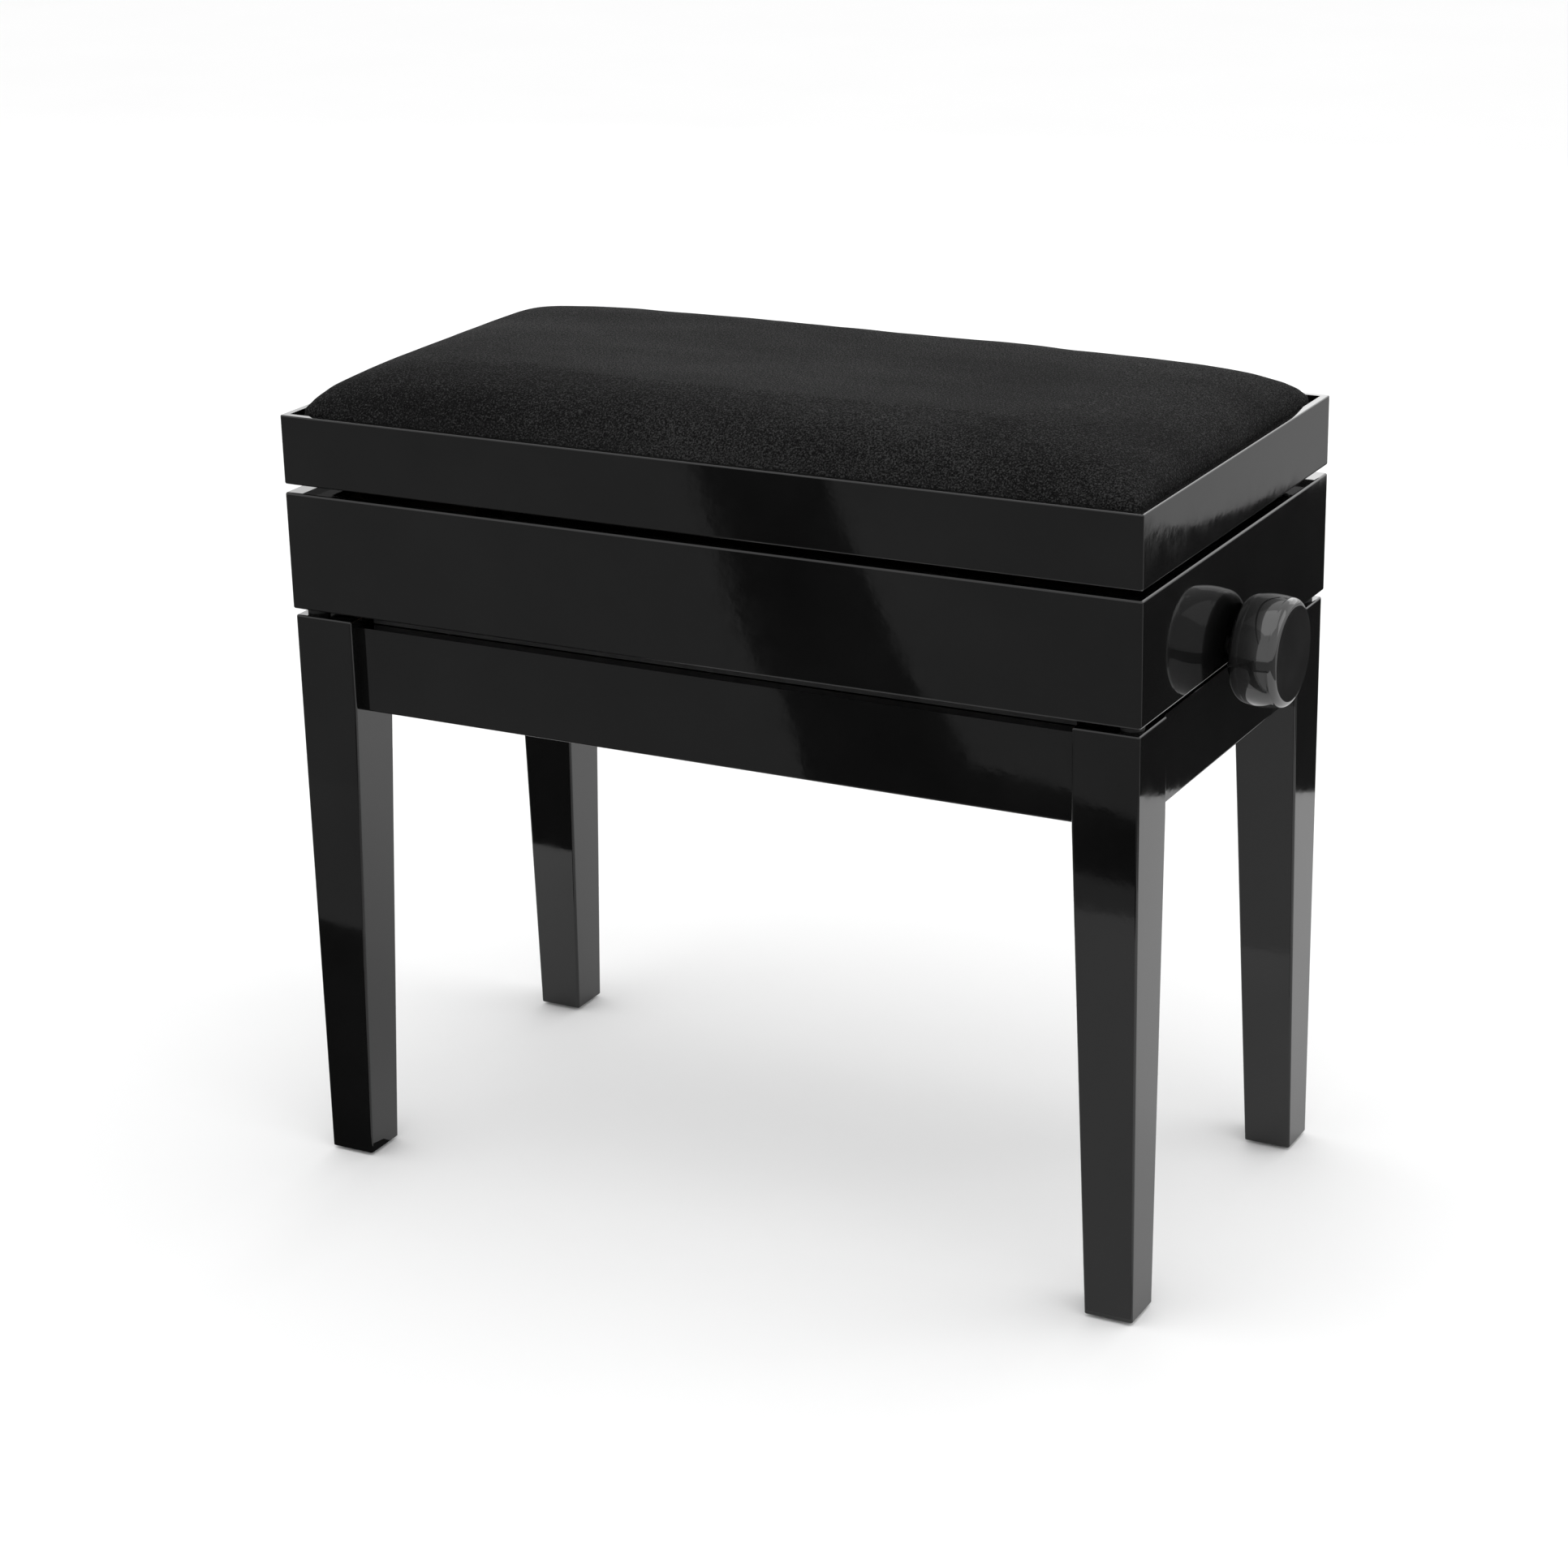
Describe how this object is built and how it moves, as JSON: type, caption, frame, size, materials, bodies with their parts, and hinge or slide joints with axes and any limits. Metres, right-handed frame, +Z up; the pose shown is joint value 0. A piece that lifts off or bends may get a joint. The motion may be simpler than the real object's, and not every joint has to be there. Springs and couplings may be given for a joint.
{
  "type": "piano bench",
  "caption": "Height-adjustable piano bench: velvet pad, scissor lift worked by a side knob, hinged case over a shallow music box, four tapered legs.",
  "frame": {"origin": "on the floor under the middle of the four legs", "axes": "+X to the player's right, where the knob is; +Y to the back, where the hinges are; +Z up"},
  "size_m": [0.5885, 0.288, 0.511],
  "materials": {
    "black_lacquer": "high-gloss black polyester lacquer on hardwood",
    "black_panel": "satin black painted plywood",
    "beech": "bare beech, sanded",
    "plywood": "bare birch plywood",
    "velvet": "black velvet over foam",
    "zinc_steel": "bright zinc-plated steel",
    "black_steel": "black powder-coated steel",
    "brass": "satin brass-plated steel",
    "black_rubber": "matt black rubber",
    "nylon": "matt black nylon",
    "knob_gloss": "polished black phenolic"
  },
  "bodies": {
    "stand": {"leg_front_left": "black_lacquer", "leg_front_right": "black_lacquer", "leg_back_left": "black_lacquer", "leg_back_right": "black_lacquer", "apron_front": "black_lacquer", "apron_back": "black_lacquer", "apron_left": "black_lacquer", "apron_right": "black_lacquer", "storage_floor": "black_panel", "leg_corner_blocks": "beech", "leg_bolts": "zinc_steel", "floor_glides": "nylon", "lid_bumpers": "black_rubber", "hinge_lower_leaves": "brass", "hinge_pins": "brass", "hinge_lower_screws": "brass", "stay_pivot_screws": "zinc_steel"},
    "case": {"case_rail_front": "black_lacquer", "case_rail_back": "black_lacquer", "case_rail_left": "black_lacquer", "case_rail_right": "black_lacquer", "case_cleats": "beech", "case_corner_blocks": "beech", "mechanism_board": "black_panel", "board_screws": "zinc_steel", "base_channels": "black_steel", "channel_bolts": "zinc_steel", "base_crossbar": "zinc_steel", "base_bar_washers": "zinc_steel", "spindle_bush": "nylon", "hinge_upper_leaves": "brass", "hinge_upper_screws": "brass", "stay_pins": "zinc_steel"},
    "stay_left": {"lid_stay_left": "brass"},
    "stay_right": {"lid_stay_right": "brass"},
    "outer_arms": {"outer_arm_front": "black_steel", "outer_arm_back": "black_steel", "arm_rivets": "zinc_steel", "slide_crossbar": "zinc_steel", "slide_bar_washers": "zinc_steel"},
    "inner_arms": {"inner_arm_front": "black_steel", "inner_arm_back": "black_steel"},
    "travelling_nut": {"nut_crossbar": "zinc_steel", "nut_bar_washers": "zinc_steel"},
    "seat": {"seat_rail_front": "black_lacquer", "seat_rail_back": "black_lacquer", "seat_rail_left": "black_lacquer", "seat_rail_right": "black_lacquer", "seat_corner_blocks": "beech", "cushion_board": "plywood", "cushion": "velvet", "seat_channels": "black_steel", "seat_channel_screws": "zinc_steel", "seat_crossbar": "zinc_steel", "seat_bar_washers": "zinc_steel"},
    "lead_screw": {"spindle": "zinc_steel", "thrust_collars": "zinc_steel", "knob": "knob_gloss"}
  },
  "joints": [
    {"name": "lid_open", "type": "hinge", "parent": "stand", "child": "case", "pos_m": [0, 0.1393, 0.3563], "axis": [-1, 0, 0], "range_deg": [0, 75]},
    {"name": "stay_left_swing", "type": "hinge", "parent": "stand", "child": "stay_left", "pos_m": [-0.2486, 0.07173, 0.33801], "axis": [-1, 0, 0], "range_deg": [0, 37.5]},
    {"name": "stay_right_swing", "type": "hinge", "parent": "stand", "child": "stay_right", "pos_m": [0.2486, 0.07173, 0.33801], "axis": [-1, 0, 0], "range_deg": [0, 37.5]},
    {"name": "lift", "type": "hinge", "parent": "case", "child": "outer_arms", "pos_m": [-0.14554, 0, 0.368], "axis": [0, -1, 0], "range_deg": [0, 18.8]},
    {"name": "scissor_cross", "type": "hinge", "parent": "outer_arms", "child": "inner_arms", "pos_m": [0, 0, 0.40429], "axis": [0, -1, 0], "range_deg": [-37.6, 0]},
    {"name": "seat_level", "type": "hinge", "parent": "inner_arms", "child": "seat", "pos_m": [-0.14554, 0, 0.44058], "axis": [0, -1, 0], "range_deg": [0, 18.8]},
    {"name": "nut_level", "type": "hinge", "parent": "inner_arms", "child": "travelling_nut", "pos_m": [0.14554, 0, 0.368], "axis": [0, -1, 0], "range_deg": [0, 18.8]},
    {"name": "knob_turn", "type": "hinge", "parent": "case", "child": "lead_screw", "pos_m": [0, 0, 0.368], "axis": [1, 0, 0], "range_deg": [0, 3502.69]}
  ],
  "couplings": [
    {"joint": "stay_left_swing", "follows": "lid_open", "ratio": 0.5},
    {"joint": "stay_right_swing", "follows": "lid_open", "ratio": 0.5},
    {"joint": "scissor_cross", "follows": "lift", "ratio": -2},
    {"joint": "seat_level", "follows": "lift", "ratio": 1},
    {"joint": "nut_level", "follows": "lift", "ratio": 1},
    {"joint": "knob_turn", "follows": "lift", "ratio": 186.31}
  ]
}
